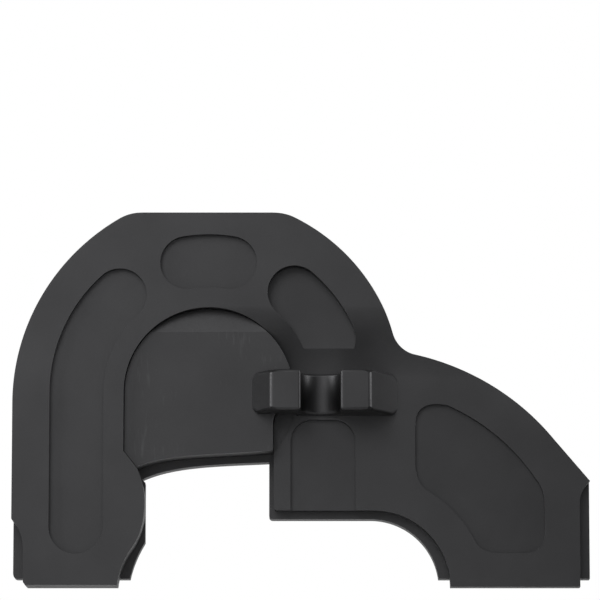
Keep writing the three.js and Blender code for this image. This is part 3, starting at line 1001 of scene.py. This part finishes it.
def add_light(name, place, size, power):
    lamp = bpy.data.lights.new(name, "AREA")
    lamp.shape = "RECTANGLE"
    lamp.size, lamp.size_y = size[0] * MM, size[1] * MM
    lamp.energy = power
    obj = bpy.data.objects.new(name, lamp)
    obj.location = Vector(place) * MM
    bpy.context.scene.collection.objects.link(obj)
    look_at(obj, (0, 0, 0))
    return obj


def add_flag(name, corners, material):
    """A dark cloth beside the part that takes light off the faces turned to it and is not seen itself."""
    bm = bmesh.new()
    bm.faces.new([bm.verts.new(Vector(corner) * MM) for corner in corners])
    flag = new_object(name, bm, material)
    flag.visible_camera = False


def build_stage(colours):
    bm = bmesh.new()
    bmesh.ops.create_circle(bm, cap_ends=True, radius=3.0, segments=96)
    for vert in bm.verts:
        vert.co.z = FLOOR_Z * MM
    floor = new_object("floor", bm, paper("White studio paper", colours.floor))
    cloth = paper("Black flag cloth", linear("#181818"))
    add_flag("left_flag", [(-150, -170, -60), (-150, -170, 260), (-150, 330, 260), (-150, 330, -60)], cloth)
    add_flag("right_flag", [(170, -60, -60), (170, -60, 160), (170, 330, 160), (170, 330, -60)], cloth)
    add_flag("front_right_flag", [(50, -150, -60), (50, -150, 90), (330, -70, 90), (330, -70, -60)], cloth)

    world = bpy.data.worlds.new("Studio")
    bpy.context.scene.world = world
    world.use_nodes = True
    tree = world.node_tree
    tree.nodes.clear()
    seen = node(tree, "ShaderNodeLightPath").outputs["Is Camera Ray"]
    strength = node(tree, "ShaderNodeMapRange", {
        "Value": seen, "From Min": 0.0, "From Max": 1.0, "To Min": 0.8, "To Max": 1.0,
    }).outputs["Result"]
    light = node(tree, "ShaderNodeBackground", {"Color": (1.0, 1.0, 1.0, 1.0), "Strength": strength})
    node(tree, "ShaderNodeOutputWorld", {"Surface": light.outputs["Background"]})

    add_light("top_front_softbox", (-170, -300, 200), (300, 240), 0.6)
    for name, place in (("left_strip", (-140, -50, 30)), ("right_strip", (160, -30, 30))):
        strip = add_light(name, place, (40, 160), 0.25)
        strip.visible_diffuse = False
    add_light("back_fill", (0, 420, 260), (360, 260), 0.5)

    up = math.radians(LOOK_UP)
    forward = Vector((0, math.cos(up), math.sin(up)))
    aim = Vector((AIM[0], -ARCH_H, AIM[1]))
    lens = bpy.data.cameras.new("camera")
    lens.sensor_width = 36.0
    lens.lens = lens.sensor_width * CAMERA_DISTANCE / PICTURE_WIDTH
    lens.clip_start, lens.clip_end = 0.01, 20.0
    camera = bpy.data.objects.new("camera", lens)
    camera.location = (aim - forward * CAMERA_DISTANCE) * MM
    bpy.context.scene.collection.objects.link(camera)
    look_at(camera, aim * MM)
    bpy.context.scene.camera = camera
    bpy.context.scene.view_settings.view_transform = "Standard"


# ---- Operators, panel and registration -------------------------------------------------------


class CarrierOperator:
    bl_options = {"REGISTER", "UNDO"}

    def execute(self, context):
        self.build(context.scene.carrier_sizes, context.scene.carrier_colours)
        return {"FINISHED"}


class CARRIER_OT_rear_plate(CarrierOperator, bpy.types.Operator):
    """Build the rear plate with its countersunk and tapped holes"""
    bl_idname = "carrier.rear_plate"
    bl_label = "Rear plate"

    def build(self, sizes, colours):
        build_rear_plate(sizes, colours)


class CARRIER_OT_front_plate(CarrierOperator, bpy.types.Operator):
    """Build the stepped front plate with its pockets"""
    bl_idname = "carrier.front_plate"
    bl_label = "Front plate"

    def build(self, sizes, colours):
        build_front_plate(sizes, colours)


class CARRIER_OT_centre_panel(CarrierOperator, bpy.types.Operator):
    """Build the panel inside the arch"""
    bl_idname = "carrier.centre_panel"
    bl_label = "Centre panel"

    def build(self, sizes, colours):
        build_centre_panel(sizes, colours)


class CARRIER_OT_hub_block(CarrierOperator, bpy.types.Operator):
    """Build the half-hexagon block with the stud groove"""
    bl_idname = "carrier.hub_block"
    bl_label = "Stud block"

    def build(self, sizes, colours):
        build_hub_block(sizes, colours)


class CARRIER_OT_screws(CarrierOperator, bpy.types.Operator):
    """Build the countersunk screws in the back"""
    bl_idname = "carrier.screws"
    bl_label = "Screws"

    def build(self, sizes, colours):
        for seed, (name, nodes) in enumerate(SCREW_KINDS.items()):
            build_screws(name, nodes, sizes, colours, seed)


class CARRIER_OT_pins(CarrierOperator, bpy.types.Operator):
    """Build the dowel pins"""
    bl_idname = "carrier.pins"
    bl_label = "Dowel pins"

    def build(self, sizes, colours):
        build_pins(sizes, colours)


class CARRIER_OT_stage(CarrierOperator, bpy.types.Operator):
    """Build the floor, the lights and the camera"""
    bl_idname = "carrier.stage"
    bl_label = "Stage"

    def build(self, sizes, colours):
        build_stage(colours)


OPERATORS = (
    CARRIER_OT_rear_plate,
    CARRIER_OT_front_plate,
    CARRIER_OT_centre_panel,
    CARRIER_OT_hub_block,
    CARRIER_OT_screws,
    CARRIER_OT_pins,
    CARRIER_OT_stage,
)


class CARRIER_PT_panel(bpy.types.Panel):
    """Sizes, colours and build buttons for the carrier"""
    bl_idname = "CARRIER_PT_panel"
    bl_label = "Spare Tire Carrier"
    bl_space_type = "VIEW_3D"
    bl_region_type = "UI"
    bl_category = "Carrier"

    def draw(self, context):
        for settings in (context.scene.carrier_sizes, context.scene.carrier_colours):
            box = self.layout.box()
            for name in settings.bl_rna.properties.keys():
                if name not in ("rna_type", "name"):
                    box.prop(settings, name)
        for operator in OPERATORS:
            self.layout.operator(operator.bl_idname)


CLASSES = (CarrierSizes, CarrierColours, *OPERATORS, CARRIER_PT_panel)


def register():
    for cls in CLASSES:
        bpy.utils.register_class(cls)
    bpy.types.Scene.carrier_sizes = PointerProperty(type=CarrierSizes)
    bpy.types.Scene.carrier_colours = PointerProperty(type=CarrierColours)


def unregister():
    del bpy.types.Scene.carrier_colours
    del bpy.types.Scene.carrier_sizes
    for cls in reversed(CLASSES):
        bpy.utils.unregister_class(cls)


def main():
    register()
    bpy.ops.carrier.rear_plate()
    bpy.ops.carrier.front_plate()
    bpy.ops.carrier.centre_panel()
    bpy.ops.carrier.hub_block()
    bpy.ops.carrier.screws()
    bpy.ops.carrier.pins()
    bpy.ops.carrier.stage()


if __name__ == "__main__":
    main()
